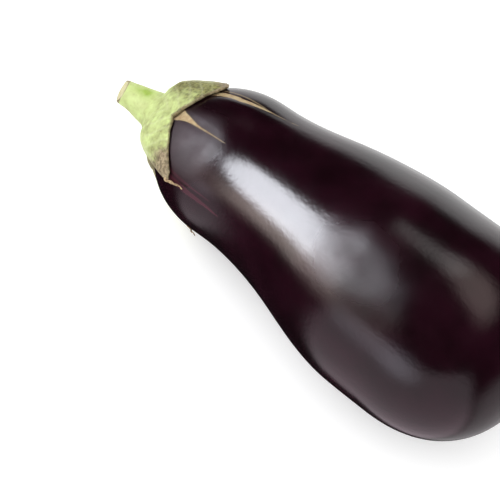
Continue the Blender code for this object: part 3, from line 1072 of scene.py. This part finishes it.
@dataclass
class Stalk:
    """The stem above the collar, with soft ribs and a cut end."""

    greens: Greens
    rib_height: float = 0.20 * MM
    cut_hollow: float = 0.35 * MM
    cut_round: float = 0.35 * MM
    cut_slant: float = 0.030
    cut_towards: float = -18.0

    def slanted(self, share: np.ndarray, roll: np.ndarray) -> np.ndarray:
        """Place along the stem when the cut is slanted: shorter on one side, longer on the other."""
        return share * (1.0 - self.cut_slant * share**2 * np.cos(np.radians(roll - self.cut_towards)))

    def build(self, finish: "LeafFinish") -> bpy.types.Object:
        """Make the stem, with its dry cut rim and its shade as values on its corners.

        Args:
            finish: of the fleshy green.

        Returns:
            The piece.
        """
        greens = self.greens
        roll = graded([(-180.0, 1.0), (180.0, 1.0)], 240, closed=True)[None, :]
        share = graded([(0.0, 1.0), (0.8, 0.8), (1.0, 0.25)], 70)[:, None]
        radius = stalk_radius(greens, share) + self.ribs(share, roll)
        radius = radius - self.cut_round * ease((share - 0.94) / 0.06) ** 2
        place = self.slanted(share, roll)
        smooth = greens.stem_points(*np.broadcast_arrays(place, radius, roll))
        radius = radius + greens.bumps(smooth) * ease(share / 0.08)
        side = greens.stem_points(*np.broadcast_arrays(place, radius, roll))
        hidden = self.hidden_rings(roll)
        inward = np.linspace(0.0, 1.0, 22)[1:-1, None]
        face_radius = radius[-1:] * (1.0 - inward)
        drop = self.cut_face_drop(inward, roll)
        slant = self.cut_slant * np.cos(np.radians(roll - self.cut_towards)) * (1.0 - inward)
        face_share = 1.0 - slant - drop / greens.stem_length
        face = greens.stem_points(*np.broadcast_arrays(face_share, face_radius, roll))
        rings = np.concatenate([hidden, side, face])
        berry = greens.berry
        last_share = 1.0 - self.cut_hollow / greens.stem_length
        collar_x, _ = greens.collar()
        first = berry.place(berry.around(collar_x + 2.0 * MM, 0.0, 0.0))
        last = berry.place(greens.stem_points(np.array(last_share), np.array(0.0), np.array(0.0)))
        values = self.tissue_values(share, roll, side, inward, face, len(hidden))
        piece = Shell.through(first, berry.place(rings), last).piece("eggplant_stem", values)
        piece.data.materials.append(finish.material())
        return piece

    def ribs(self, share: np.ndarray, roll: np.ndarray) -> np.ndarray:
        """Height of five soft ribs that run up from the sepals' middles and grow to the cut."""
        return self.rib_height * rib_wave(roll, 0.6 * share) * ease(share / 0.3)

    def hidden_rings(self, roll: np.ndarray) -> np.ndarray:
        """Two rings of the stem that are tucked just under the calyx's surface.

        Args:
            roll: roll angles of the columns.

        Returns:
            Their points.
        """
        greens = self.greens
        reach = greens.collar_start + np.array([1.0, 0.5])[:, None] * MM
        tuck = np.array([0.36, 0.12])[:, None] * MM
        proud = greens.skin_gap + greens.edge_thickness + greens.flare(reach) - tuck
        reach, proud, roll = np.broadcast_arrays(reach, proud, roll)
        return greens.berry.over_skin(reach, proud, roll)

    def cut_face_drop(self, inward: np.ndarray, roll: np.ndarray) -> np.ndarray:
        """Depth of the cut face under its rim: a shallow dish with the marks of the knife.

        Args:
            inward: distance from the rim, as a share of the face's radius.
            roll: roll angle.

        Returns:
            The depth.
        """
        dish = self.cut_hollow * ease(inward / 0.45)
        marks = 0.06 * MM * np.sin(9.0 * inward * np.cos(np.radians(roll - 20.0)))
        return dish + marks * ease(inward / 0.2)

    def tissue_values(
        self,
        share: np.ndarray,
        roll: np.ndarray,
        side: np.ndarray,
        inward: np.ndarray,
        face: np.ndarray,
        before: int,
    ) -> dict[str, np.ndarray]:
        """Dryness, veins, shade, fresh green and cut flesh of the stem, for all its rings.

        Args:
            share: place along the stem of the side's rings.
            roll: roll angles of the columns.
            side: the side's points.
            inward: distance from the rim of the face's rings, as a share of its radius.
            face: the face's points.
            before: rings before the side.

        Returns:
            One array of rings and columns for each value.
        """
        columns = roll.shape[1]
        patchy = layered_noise(side, 4.0 * MM, 91)
        corky = np.maximum(near_roll(roll, 68.0, 26.0), near_roll(roll, -108.0, 30.0))
        dry_side = 0.85 * ease((share - 0.955 + 0.03 * patchy + 0.035 * corky) / 0.04)
        dry_side = np.maximum(dry_side, 0.35 * ease((patchy - 0.55) / 0.3))
        fresh = near_roll(roll, 20.0, 17.0) * bell((share - 0.36) / 0.36)
        fresh = np.clip(fresh * (0.85 + 0.9 * patchy), 0.0, 1.0)
        vein = np.broadcast_to(0.30 * (0.5 + 0.5 * rib_wave(roll)), patchy.shape)
        olive = np.clip(0.06 + 0.20 * patchy, 0.0, 1.0)
        grain = layered_noise(face, 1.2 * MM, 95)
        dry_face = (0.35 + 0.65 * corky) * ease((0.15 - inward + 0.05 * grain) / 0.10)
        zeros = np.zeros((before, columns))
        flat = np.zeros(dry_face.shape)
        return {
            "dry": np.concatenate([zeros, dry_side, dry_face]),
            "vein": np.concatenate([zeros, vein, flat]),
            "olive": np.concatenate([zeros, olive, flat]),
            "fresh": np.concatenate([zeros, fresh, flat]),
            "cut": np.concatenate([zeros, np.zeros(patchy.shape), np.ones(dry_face.shape)]),
        }


@dataclass(frozen=True)
class Curl:
    """One dried sepal tip: a thread that leaves the lobe and curls.

    Attributes:
        roll: roll angle where it starts.
        reach: reach where it starts.
        length: along the skin.
        drift: change of the roll angle over its length.
        rise: how far its end stands off the skin.
        thickness: its radius at the start.
    """

    roll: float
    reach: float
    length: float
    drift: float
    rise: float
    thickness: float


@dataclass
class DriedTips:
    """The withered ends of the sepals, as thin curled threads joined in one piece."""

    greens: Greens
    curls: tuple[Curl, ...] = (
        Curl(-62.8, 41.5 * MM, 11.0 * MM, 4.6, 0.5 * MM, 0.62 * MM),
        Curl(-124.0, 48.5 * MM, 7.0 * MM, 6.0, 0.5 * MM, 0.50 * MM),
        Curl(32.5, 34.5 * MM, 2.2 * MM, 3.0, 0.3 * MM, 0.45 * MM),
        Curl(108.5, 39.5 * MM, 8.0 * MM, -9.0, 2.6 * MM, 0.55 * MM),
        Curl(180.0, 45.0 * MM, 6.0 * MM, -4.0, 0.5 * MM, 0.50 * MM),
    )

    def build(self, finish: "ThreadFinish") -> bpy.types.Object:
        """Make all the threads and join them.

        Args:
            finish: of the dried tissue.

        Returns:
            The piece.
        """
        threads = Shell.joined([self.thread(curl) for curl in self.curls])
        piece = threads.piece("eggplant_sepal_tips")
        piece.data.materials.append(finish.material())
        return piece

    def thread(self, curl: Curl) -> Shell:
        """A tapering tube along a path over the skin.

        Along the path the reach runs evenly, the roll angle as the square of a sine, and the
        height rises as the square of the way along. The tube's radius shrinks to a third,
        with small knots in it.

        Args:
            curl: sizes of the thread.

        Returns:
            The tube.
        """
        way = np.linspace(0.0, 1.0, 48)
        reach = curl.reach + curl.length * way
        roll = curl.roll + curl.drift * np.sin(1.7 * way) ** 2
        proud = 1.15 * MM + curl.rise * way**2 + 0.18 * MM * np.sin(14.0 * way)
        path = self.greens.cap_points(reach, proud, roll)
        ahead = np.gradient(path, axis=0)
        ahead /= np.linalg.norm(ahead, axis=1, keepdims=True)
        outward = self.greens.cap_points(reach, proud + 1.0 * MM, roll) - path
        outward -= ahead * np.sum(ahead * outward, axis=1, keepdims=True)
        outward /= np.linalg.norm(outward, axis=1, keepdims=True)
        across = np.cross(ahead, outward)
        turn = np.linspace(0.0, 2.0 * math.pi, 16, endpoint=False)[None, :, None]
        knots = 1.0 + 0.18 * np.sin(21.0 * way + curl.roll)
        radius = (curl.thickness * (1.0 - 0.66 * way) * knots)[:, None, None]
        widening = 1.0 + 0.5 * (1.0 - way)[:, None, None]
        sideways = widening * np.cos(turn) * across[:, None]
        ring = path[:, None] + radius * (sideways + np.sin(turn) * outward[:, None])
        berry = self.greens.berry
        first, last = berry.place(path[[0, -1]])
        return Shell.through(first, berry.place(ring), last)


def berry_fibres(roll: np.ndarray, reach: np.ndarray) -> np.ndarray:
    """Places for a noise of long fibres: a degree and a half across and 9 mm along."""
    roll, reach = np.broadcast_arrays(roll, reach)
    return np.stack([roll / 1.5, reach / (9.0 * MM), np.zeros(reach.shape)], axis=-1)


# ---------------------------------------------------------------------------------------
# Finishes
# ---------------------------------------------------------------------------------------


class Sum(Enum):
    """Arithmetic that a node does on its values."""

    ADD = "ADD"
    SUBTRACT = "SUBTRACT"
    MULTIPLY = "MULTIPLY"
    DIVIDE = "DIVIDE"
    POWER = "POWER"
    MAXIMUM = "MAXIMUM"
    ABSOLUTE = "ABSOLUTE"
    ARCSINE = "ARCSINE"
    ARCTAN2 = "ARCTAN2"


class NodeWork:
    """A node tree, with short ways to add and join nodes."""

    def __init__(self, tree: bpy.types.NodeTree) -> None:
        """Work on a tree."""
        self.tree = tree

    def add(self, kind: str, **settings: object) -> bpy.types.Node:
        """Add a node and set its plain properties.

        Args:
            kind: the node's type.
            settings: its properties by name.

        Returns:
            The node.
        """
        node = self.tree.nodes.new(kind)
        for key, value in settings.items():
            setattr(node, key, value)
        return node

    def join(self, source: bpy.types.NodeSocket, target: bpy.types.NodeSocket) -> None:
        """Link an output to an input."""
        self.tree.links.new(source, target)

    def feed(self, socket: bpy.types.NodeSocket, value: object) -> None:
        """Link a socket, or set its value.

        Args:
            socket: the input.
            value: an output socket, a number or a colour.
        """
        if isinstance(value, bpy.types.NodeSocket):
            self.join(value, socket)
        elif isinstance(value, tuple):
            socket.default_value = (*value, 1.0)
        else:
            socket.default_value = value

    def sum_of(self, kind: Sum, a: object, b: object = 0.0) -> bpy.types.NodeSocket:
        """Do a sum.

        Args:
            kind: which sum.
            a: the first value.
            b: the second value, where the sum takes two.

        Returns:
            The result.
        """
        node = self.add("ShaderNodeMath", operation=kind.value)
        self.feed(node.inputs[0], a)
        self.feed(node.inputs[1], b)
        return node.outputs[0]

    def spread(
        self,
        source: bpy.types.NodeSocket,
        low: float,
        high: float,
        to: tuple[float, float] = (0.0, 1.0),
        smooth: bool = False,
    ) -> bpy.types.NodeSocket:
        """Stretch the range low to high of a value to another range, clamped.

        Args:
            source: the value.
            low: start of its range.
            high: end of its range.
            to: the new range.
            smooth: ease in and out of the new range.

        Returns:
            The stretched value.
        """
        node = self.add("ShaderNodeMapRange", interpolation_type="SMOOTHSTEP" if smooth else "LINEAR")
        self.join(source, node.inputs["Value"])
        node.inputs["From Min"].default_value = low
        node.inputs["From Max"].default_value = high
        node.inputs["To Min"].default_value = to[0]
        node.inputs["To Max"].default_value = to[1]
        return node.outputs["Result"]

    def blend(self, share: object, a: object, b: object) -> bpy.types.NodeSocket:
        """Mix two colours.

        Args:
            share: of the second colour.
            a: the first colour.
            b: the second colour.

        Returns:
            The mixed colour.
        """
        node = self.add("ShaderNodeMix", data_type="RGBA")
        self.feed(node.inputs["Factor"], share)
        self.feed(node.inputs[6], a)
        self.feed(node.inputs[7], b)
        return node.outputs[2]


class NodeSheet(NodeWork):
    """A material's nodes, with the patterns and bumps that its finish needs."""

    def __init__(self, name: str) -> None:
        """Start a material with a Principled shader and object coordinates.

        Args:
            name: of the material.
        """
        self.material = bpy.data.materials.new(name)
        self.material.use_nodes = True
        super().__init__(self.material.node_tree)
        self.shader = self.tree.nodes["Principled BSDF"]
        self.place = self.add("ShaderNodeTexCoord").outputs["Object"]

    def value(self, name: str) -> bpy.types.NodeSocket:
        """Read a named value of the mesh's corners."""
        return self.add("ShaderNodeAttribute", attribute_name=name).outputs["Fac"]

    def along(self, tilt: float, stretch: float) -> bpy.types.NodeSocket:
        """Object coordinates that stretch a pattern along the fruit's tilted axis.

        Args:
            tilt: of the axis, in degrees.
            stretch: how many times longer than wide the pattern becomes.

        Returns:
            The coordinates.
        """
        node = self.add("ShaderNodeMapping", vector_type="TEXTURE")
        self.join(self.place, node.inputs["Vector"])
        node.inputs["Rotation"].default_value = (0.0, -math.radians(tilt), 0.0)
        node.inputs["Scale"].default_value = (stretch, 1.0, 1.0)
        return node.outputs["Vector"]

    def noise(
        self,
        size: float,
        detail: float = 3.0,
        roughness: float = 0.5,
        warp: float = 0.0,
        place: bpy.types.NodeSocket | None = None,
    ) -> bpy.types.NodeSocket:
        """Noise with features of about a given size.

        Args:
            size: of the largest features, in metres.
            detail: how many finer layers.
            roughness: strength of the finer layers.
            warp: distortion.
            place: coordinates, the object's own if none are given.

        Returns:
            The noise, between 0 and 1.
        """
        node = self.add("ShaderNodeTexNoise")
        self.join(place or self.place, node.inputs["Vector"])
        node.inputs["Scale"].default_value = 1.0 / size
        node.inputs["Detail"].default_value = detail
        node.inputs["Roughness"].default_value = roughness
        node.inputs["Distortion"].default_value = warp
        return node.outputs["Fac"]

    def cells(self, size: float, feature: str) -> bpy.types.NodeSocket:
        """Distance pattern of irregular cells.

        Args:
            size: of a cell, in metres.
            feature: which distance.

        Returns:
            The distance, in cells.
        """
        node = self.add("ShaderNodeTexVoronoi", feature=feature)
        self.join(self.place, node.inputs["Vector"])
        node.inputs["Scale"].default_value = 1.0 / size
        return node.outputs["Distance"]

    def bump(
        self,
        height: bpy.types.NodeSocket,
        depth: float,
        below: bpy.types.NodeSocket | None = None,
    ) -> bpy.types.NodeSocket:
        """Bumps from a height between 0 and 1, on top of another bump.

        Args:
            height: the pattern.
            depth: height of the pattern's full range, in metres.
            below: normals of a bump under this one.

        Returns:
            The bumped normals.
        """
        node = self.add("ShaderNodeBump")
        self.join(height, node.inputs["Height"])
        node.inputs["Distance"].default_value = depth
        node.inputs["Strength"].default_value = 1.0
        if below is not None:
            self.join(below, node.inputs["Normal"])
        return node.outputs["Normal"]

    def set(self, socket: str, value: object) -> None:
        """Set or link an input of the shader."""
        self.feed(self.shader.inputs[socket], value)


@dataclass(frozen=True)
class SkinFinish:
    """Glossy near-black purple skin with pale streaks, a pink blush and a corky scar.

    Its sizes are those of its patterns and bumps, and roughness is added to the gloss where
    the skin is streaked, scarred or matte.
    """

    deep: Colour = (0.0052, 0.0006, 0.0019)
    warm: Colour = (0.0150, 0.0020, 0.0060)
    pale: Colour = (0.47, 0.37, 0.205)
    pale_dark: Colour = (0.33, 0.205, 0.105)
    pink: Colour = (0.085, 0.016, 0.030)
    cork: Colour = (0.22, 0.13, 0.07)
    tone_size: float = 30.0 * MM
    streak_grain: float = 2.2 * MM
    gloss: float = 0.16
    gloss_patch: float = 11.0 * MM
    streak_roughness: float = 0.28
    matte_roughness: float = 0.46
    ior: float = 1.55
    swell_size: float = 6.0 * MM
    swell_stretch: float = 5.0
    swell_depth: float = 0.085 * MM
    peel_size: float = 1.7 * MM
    peel_depth: float = 0.045 * MM

    def material(self) -> bpy.types.Material:
        """Colour by tone, blush, streak and scar, and gloss that streaks and worn skin lose.

        Returns:
            The skin's material.
        """
        sheet = NodeSheet("eggplant_skin")
        tone = sheet.spread(sheet.noise(self.tone_size, 3.0, 0.55), 0.35, 0.68)
        colour = sheet.blend(tone, self.deep, self.warm)
        grain = sheet.spread(sheet.noise(self.streak_grain, 4.0, 0.6), 0.38, 0.72)
        pale = sheet.blend(grain, self.pale, self.pale_dark)
        colour = sheet.blend(sheet.value("blush"), colour, self.pink)
        colour = sheet.blend(sheet.value("stripe"), colour, pale)
        colour = sheet.blend(sheet.value("scar"), colour, self.cork)
        sheet.set("Base Color", colour)
        bare = sheet.sum_of(Sum.MAXIMUM, sheet.value("stripe"), sheet.value("scar"))
        bare = sheet.sum_of(Sum.MULTIPLY, bare, self.streak_roughness)
        matte = sheet.sum_of(Sum.MULTIPLY, sheet.value("dull"), self.matte_roughness)
        bloom = (self.gloss * 0.85, self.gloss * 1.25)
        rough = sheet.spread(sheet.noise(self.gloss_patch, 4.0, 0.6), 0.3, 0.75, bloom)
        rough = sheet.sum_of(Sum.ADD, rough, bare)
        sheet.set("Roughness", sheet.sum_of(Sum.ADD, rough, matte))
        sheet.set("IOR", self.ior)
        sheet.set("Specular IOR Level", 0.5)
        lengthwise = sheet.along(AXIS_TILT, self.swell_stretch)
        swell = sheet.bump(sheet.noise(self.swell_size, place=lengthwise), self.swell_depth)
        peel = sheet.bump(sheet.noise(self.peel_size, 3.0, 0.6), self.peel_depth, swell)
        sheet.set("Normal", peel)
        return sheet.material


@dataclass(frozen=True)
class LeafFinish:
    """Matte fleshy green of the calyx and the stem, with pale veins and dry brown edges."""

    fresh: Colour = (0.58, 0.69, 0.28)
    bright: Colour = (0.31, 0.47, 0.055)
    olive: Colour = (0.27, 0.265, 0.09)
    olive_dark: Colour = (0.10, 0.095, 0.032)
    cream: Colour = (0.70, 0.72, 0.46)
    straw: Colour = (0.38, 0.29, 0.19)
    bark: Colour = (0.085, 0.052, 0.034)
    flesh: Colour = (0.62, 0.57, 0.33)
    mottle_size: float = 5.0 * MM
    speck_size: float = 1.4 * MM
    pit_size: float = 2.1 * MM
    dried_size: float = 1.6 * MM
    olive_share: float = 0.42
    vein_share: float = 0.40
    ior: float = 1.42
    glow_through: float = 0.12
    glow_depth: tuple[float, float, float] = (1.6 * MM, 2.0 * MM, 0.6 * MM)
    lump_size: float = 1.6 * MM
    lump_depth: float = 0.22 * MM
    vein_depth: float = 0.12 * MM

    def material(self) -> bpy.types.Material:
        """Greens by shade and freshness, then veins, pits, dried tissue and cut flesh.

        Returns:
            The green's material.
        """
        sheet = NodeSheet("eggplant_green")
        mottle = sheet.spread(sheet.noise(self.mottle_size, 4.0, 0.6, 0.3), 0.36, 0.66)
        speck = sheet.spread(sheet.noise(self.speck_size, 3.0, 0.65), 0.40, 0.62)
        duller = sheet.blend(self.olive_share, self.fresh, self.olive)
        light = sheet.blend(mottle, self.fresh, duller)
        light = sheet.blend(sheet.value("fresh"), light, self.bright)
        dark = sheet.blend(speck, self.olive, self.olive_dark)
        colour = sheet.blend(sheet.value("olive"), light, dark)
        vein = sheet.value("vein")
        colour = sheet.blend(sheet.sum_of(Sum.MULTIPLY, vein, self.vein_share), colour, self.cream)
        pits = sheet.spread(sheet.cells(self.pit_size, "F1"), 0.10, 0.34, (0.22, 0.0))
        colour = sheet.blend(pits, colour, self.olive)
        weathered = sheet.spread(sheet.noise(self.dried_size, 4.0, 0.65), 0.37, 0.64)
        dried = sheet.blend(weathered, self.straw, self.bark)
        colour = sheet.blend(sheet.value("dry"), colour, dried)
        cut = sheet.blend(sheet.value("dry"), self.flesh, self.bark)
        colour = sheet.blend(sheet.value("cut"), colour, cut)
        sheet.set("Base Color", colour)
        sheet.set("Roughness", sheet.spread(mottle, 0.0, 1.0, (0.52, 0.68)))
        sheet.set("IOR", self.ior)
        sheet.set("Subsurface Weight", self.glow_through)
        sheet.set("Subsurface Radius", Vector(self.glow_depth))
        sheet.set("Subsurface Scale", 1.0)
        lumps = sheet.bump(sheet.noise(self.lump_size, 4.0, 0.6), self.lump_depth)
        sheet.set("Normal", sheet.bump(vein, self.vein_depth, lumps))
        return sheet.material


@dataclass(frozen=True)
class ThreadFinish:
    """Dry, fibrous straw of the withered sepal tips."""

    straw: Colour = (0.50, 0.37, 0.20)
    bark: Colour = (0.15, 0.085, 0.045)
    patch_size: float = 1.4 * MM
    fibre_size: float = 0.6 * MM
    fibre_depth: float = 0.12 * MM

    def material(self) -> bpy.types.Material:
        """Straw with darker patches and rough fibres.

        Returns:
            The dried tissue's material.
        """
        sheet = NodeSheet("eggplant_dried_tip")
        patch = sheet.spread(sheet.noise(self.patch_size, 4.0, 0.6), 0.42, 0.64)
        sheet.set("Base Color", sheet.blend(patch, self.straw, self.bark))
        sheet.set("Roughness", 0.75)
        fibres = sheet.noise(self.fibre_size, 3.0, 0.6)
        sheet.set("Normal", sheet.bump(fibres, self.fibre_depth))
        return sheet.material


# ---------------------------------------------------------------------------------------
# Studio
# ---------------------------------------------------------------------------------------


@dataclass(frozen=True)
class SoftBox:
    """A rectangular lamp that faces the eggplant.

    Attributes:
        name: of the lamp.
        azimuth: direction from the eggplant, from +X towards +Y.
        elevation: above the floor.
        distance: from the eggplant.
        width: of the lamp, level.
        height: of the lamp, upright.
        brightness: radiance of its face, 1 for what shows as white.
        tint: its colour.
    """

    name: str
    azimuth: float
    elevation: float
    distance: float
    width: float
    height: float
    brightness: float
    tint: Colour

    def build(self, centre: Vector) -> bpy.types.Object:
        """Hang the lamp.

        Args:
            centre: the point that it faces.

        Returns:
            The lamp.
        """
        lamp = bpy.data.lights.new(self.name, "AREA")
        lamp.shape = "RECTANGLE"
        lamp.size = self.width
        lamp.size_y = self.height
        lamp.energy = self.brightness * math.pi * self.width * self.height
        lamp.color = self.tint
        piece = bpy.data.objects.new(self.name, lamp)
        away = direction(self.azimuth, self.elevation)
        piece.location = centre + away * self.distance
        piece.rotation_euler = (-away).to_track_quat("-Z", "Y").to_euler()
        piece.visible_glossy = False
        piece.visible_camera = False
        bpy.context.scene.collection.objects.link(piece)
        return piece


def direction(azimuth: float, elevation: float) -> Vector:
    """Unit vector of a direction.

    Args:
        azimuth: from +X towards +Y.
        elevation: above the floor.

    Returns:
        The vector.
    """
    flat = math.cos(math.radians(elevation))
    turn = math.radians(azimuth)
    return Vector((flat * math.cos(turn), flat * math.sin(turn), math.sin(math.radians(elevation))))


@dataclass(frozen=True)
class Glow:
    """A soft-edged patch of the room, which shows only as a reflection in gloss.

    Attributes:
        azimuth: of its middle, from +X towards +Y.
        elevation: of its middle, above the floor.
        half_width: in degrees of azimuth.
        half_height: in degrees of elevation.
        softness: share of its size over which it fades at its sides, half in and half out.
        squareness: 2 for an oval, and more for squarer corners.
        radiance: 1 for what shows as white when looked at.
        tint: its colour.
    """

    azimuth: float
    elevation: float
    half_width: float
    half_height: float
    softness: float
    squareness: float
    radiance: float
    tint: Colour


@dataclass
class Room:
    """What surrounds the eggplant: white for the camera, and glows for the gloss."""

    backdrop: Colour = (1.0, 1.0, 1.0)
    ambient: float = 0.86
    darkness: Colour = (0.014, 0.010, 0.012)
    glows: tuple[Glow, ...] = (
        Glow(-156.5, 34.0, 20.0, 17.0, 0.30, 2.4, 16.5, (0.90, 0.93, 1.0)),
        Glow(-145.0, 15.0, 16.0, 9.0, 0.80, 2.0, 3.2, (1.0, 0.88, 0.82)),
        Glow(-134.0, 17.0, 20.0, 13.0, 0.70, 2.0, 1.0, (1.0, 0.80, 0.72)),
        Glow(-126.0, 34.0, 12.0, 12.0, 0.70, 2.0, 0.9, (1.0, 0.88, 0.86)),
        Glow(-95.0, 10.0, 17.0, 12.0, 0.70, 2.0, 1.3, (0.88, 0.86, 1.0)),
        Glow(112.0, 50.0, 15.0, 11.0, 0.60, 2.0, 1.2, (0.95, 0.97, 0.95)),
        Glow(66.0, 57.0, 46.0, 17.0, 0.60, 2.0, 1.3, (1.0, 0.84, 0.78)),
        Glow(-72.0, -36.0, 50.0, 56.0, 0.12, 6.0, 0.75, (1.0, 0.84, 0.92)),
        Glow(33.0, -54.0, 52.0, 40.0, 0.25, 6.0, 0.5, (1.0, 0.96, 0.98)),
        Glow(113.0, -30.0, 30.0, 27.0, 0.35, 4.0, 1.05, (1.0, 1.0, 1.0)),
    )

    def build(self) -> None:
        """Make the world and use it for the scene."""
        world = bpy.data.worlds.new("studio")
        world.use_nodes = True
        work = NodeWork(world.node_tree)
        split = work.add("ShaderNodeSeparateXYZ")
        work.join(work.add("ShaderNodeTexCoord").outputs["Generated"], split.inputs["Vector"])
        azimuth = work.sum_of(Sum.ARCTAN2, split.outputs["Y"], split.outputs["X"])
        elevation = work.sum_of(Sum.ARCSINE, split.outputs["Z"])
        light: object = self.darkness
        for glow in self.glows:
            light = self.add_glow(work, glow, azimuth, elevation, light)
        path = work.add("ShaderNodeLightPath")
        even = tuple(channel * self.ambient for channel in self.backdrop)
        seen = work.blend(path.outputs["Is Glossy Ray"], even, light)
        seen = work.blend(path.outputs["Is Camera Ray"], seen, self.backdrop)
        work.join(seen, world.node_tree.nodes["Background"].inputs["Color"])
        bpy.context.scene.world = world

    def add_glow(
        self,
        work: NodeWork,
        glow: Glow,
        azimuth: bpy.types.NodeSocket,
        elevation: bpy.types.NodeSocket,
        light: object,
    ) -> bpy.types.NodeSocket:
        """Add one glow to the light so far.

        How far out a ray is, 1 at the rim, is (|a|^p + |b|^p)^(1/p). Here a and b are its
        azimuth and elevation from the middle, as shares of the half sizes, and p is the
        squareness. The strength is a smooth step across the rim.

        Args:
            work: the world's nodes.
            glow: the patch to add.
            azimuth: of the ray, in radians.
            elevation: of the ray, in radians.
            light: the light so far.

        Returns:
            The light with the glow in it.
        """
        apart = work.sum_of(Sum.SUBTRACT, azimuth, math.radians(glow.azimuth))
        wrapped = work.add("ShaderNodeMath", operation="WRAP")
        work.feed(wrapped.inputs[0], apart)
        work.feed(wrapped.inputs[1], math.pi)
        work.feed(wrapped.inputs[2], -math.pi)
        aside = work.sum_of(Sum.ABSOLUTE, wrapped.outputs[0])
        above = work.sum_of(Sum.SUBTRACT, elevation, math.radians(glow.elevation))
        above = work.sum_of(Sum.ABSOLUTE, above)
        across = work.sum_of(Sum.DIVIDE, aside, math.radians(glow.half_width))
        upright = work.sum_of(Sum.DIVIDE, above, math.radians(glow.half_height))
        across = work.sum_of(Sum.POWER, across, glow.squareness)
        upright = work.sum_of(Sum.POWER, upright, glow.squareness)
        out = work.sum_of(Sum.POWER, work.sum_of(Sum.ADD, across, upright), 1.0 / glow.squareness)
        share = work.spread(out, 1.0 - glow.softness, 1.0 + glow.softness, (1.0, 0.0), True)
        colour = tuple(channel * glow.radiance for channel in glow.tint)
        node = work.add("ShaderNodeVectorMath", operation="MULTIPLY_ADD")
        work.join(share, node.inputs[0])
        node.inputs[1].default_value = colour
        if isinstance(light, tuple):
            node.inputs[2].default_value = light
        else:
            work.join(light, node.inputs[2])
        return node.outputs[0]


@dataclass
class Studio:
    """White floor, soft lamps and the camera.

    Attributes:
        view_azimuth: of the camera's look. At 0 it looks along +Y.
        view_elevation: of the camera, above the floor.
        view_distance: from the camera to the point that it is aimed at.
        lens: focal length, in millimetres, for the sensor's width in millimetres.
        sensor_width: width of the sensor.
        aim: the point that the camera is aimed at.
        lit_point: the point that the lamps face.
        floor_side: side of the square floor.
        floor_white: how much light the floor sends back.
        floor_tint: colour of the light that the floor gives off.
        floor_lit: how much light that is, so that the shadow on it stays light.
        lamps: the soft lamps.
    """

    view_azimuth: float = 41.9
    view_elevation: float = 66.0
    view_distance: float = 0.7643
    lens: float = 133.8
    sensor_width: float = 36.0
    aim: tuple[float, float, float] = (-12.9 * MM, -25.7 * MM, 45.0 * MM)
    lit_point: tuple[float, float, float] = (0.0, 0.0, 45.0 * MM)
    floor_side: float = 8.0
    floor_white: float = 0.92
    floor_tint: Colour = (1.0, 1.0, 1.0)
    floor_lit: float = 0.22
    lamps: tuple[SoftBox, ...] = (
        SoftBox("main_softbox", -160.0, 50.0, 1.3, 0.80, 0.85, 1.9, (0.97, 0.98, 1.0)),
        SoftBox("front_fill", -60.0, 55.0, 1.5, 1.6, 1.2, 0.6, (1.0, 1.0, 1.0)),
        SoftBox("sky_fill", 40.0, 82.0, 1.6, 2.4, 2.4, 0.6, (1.0, 1.0, 1.0)),
    )

    def build(self) -> None:
        """Lay the floor, hang the lamps and set up the camera."""
        self.lay_floor()
        for lamp in self.lamps:
            lamp.build(Vector(self.lit_point))
        Room().build()
        self.set_camera()
        bpy.context.scene.view_settings.view_transform = "Standard"

    def lay_floor(self) -> None:
        """A plain white floor, which gives off a little light and shows in no reflection."""
        half = self.floor_side / 2.0
        mesh = bpy.data.meshes.new("floor")
        corners = [(-half, -half, 0.0), (half, -half, 0.0), (half, half, 0.0), (-half, half, 0.0)]
        mesh.from_pydata(corners, [], [(0, 1, 2, 3)])
        sheet = NodeSheet("floor_paper")
        sheet.set("Base Color", (self.floor_white,) * 3)
        sheet.set("Roughness", 0.9)
        sheet.set("Specular IOR Level", 0.0)
        sheet.set("Emission Color", self.floor_tint)
        sheet.set("Emission Strength", self.floor_lit)
        mesh.materials.append(sheet.material)
        floor = bpy.data.objects.new("floor", mesh)
        bpy.context.scene.collection.objects.link(floor)
        floor.visible_glossy = False

    def set_camera(self) -> None:
        """A camera that looks down on the eggplant, aimed near its middle.

        A look along +Y has azimuth 0, and its camera stands at -90 degrees from +X.
        """
        data = bpy.data.cameras.new("camera")
        data.lens = self.lens
        data.sensor_width = self.sensor_width
        data.clip_start = 0.05
        camera = bpy.data.objects.new("camera", data)
        behind = self.view_azimuth - 90.0
        away = direction(behind, self.view_elevation)
        camera.location = Vector(self.aim) + away * self.view_distance
        camera.rotation_euler = (-away).to_track_quat("-Z", "Y").to_euler()
        bpy.context.scene.collection.objects.link(camera)
        bpy.context.scene.camera = camera


# ---------------------------------------------------------------------------------------
# Assembly
# ---------------------------------------------------------------------------------------


def corners(box: tuple[Vector, Vector]) -> list[list[float]]:
    """A box's two corners as plain lists of numbers."""
    return [[float(value) for value in corner] for corner in box]


def fit_piece(piece: bpy.types.Object, node: str) -> None:
    """Let a piece stand for a CAD node, and report it.

    Args:
        piece: the finished piece.
        node: the CAD node that it replaces, or an empty string for an added piece.
    """
    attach(piece, BODY)
    if node:
        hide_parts(node)
    log.info("%s: %d corners, stands for %s", piece.name, len(piece.data.vertices), node or "no node")


def main() -> None:
    """Build the eggplant piece by piece, then the studio."""
    logging.basicConfig(level=logging.INFO, format="%(name)s %(message)s")
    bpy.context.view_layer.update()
    berry = Berry()
    greens = Greens(berry)
    leaf = LeafFinish()
    fit_piece(berry.build(SkinFinish()), "fruit")
    fit_piece(Cap(greens).build(leaf), "calyx")
    fit_piece(Stalk(greens).build(leaf), "stem")
    fit_piece(DriedTips(greens).build(ThreadFinish()), "")
    Studio().build()
    bpy.context.view_layer.update()


if __name__ == "__main__":
    main()
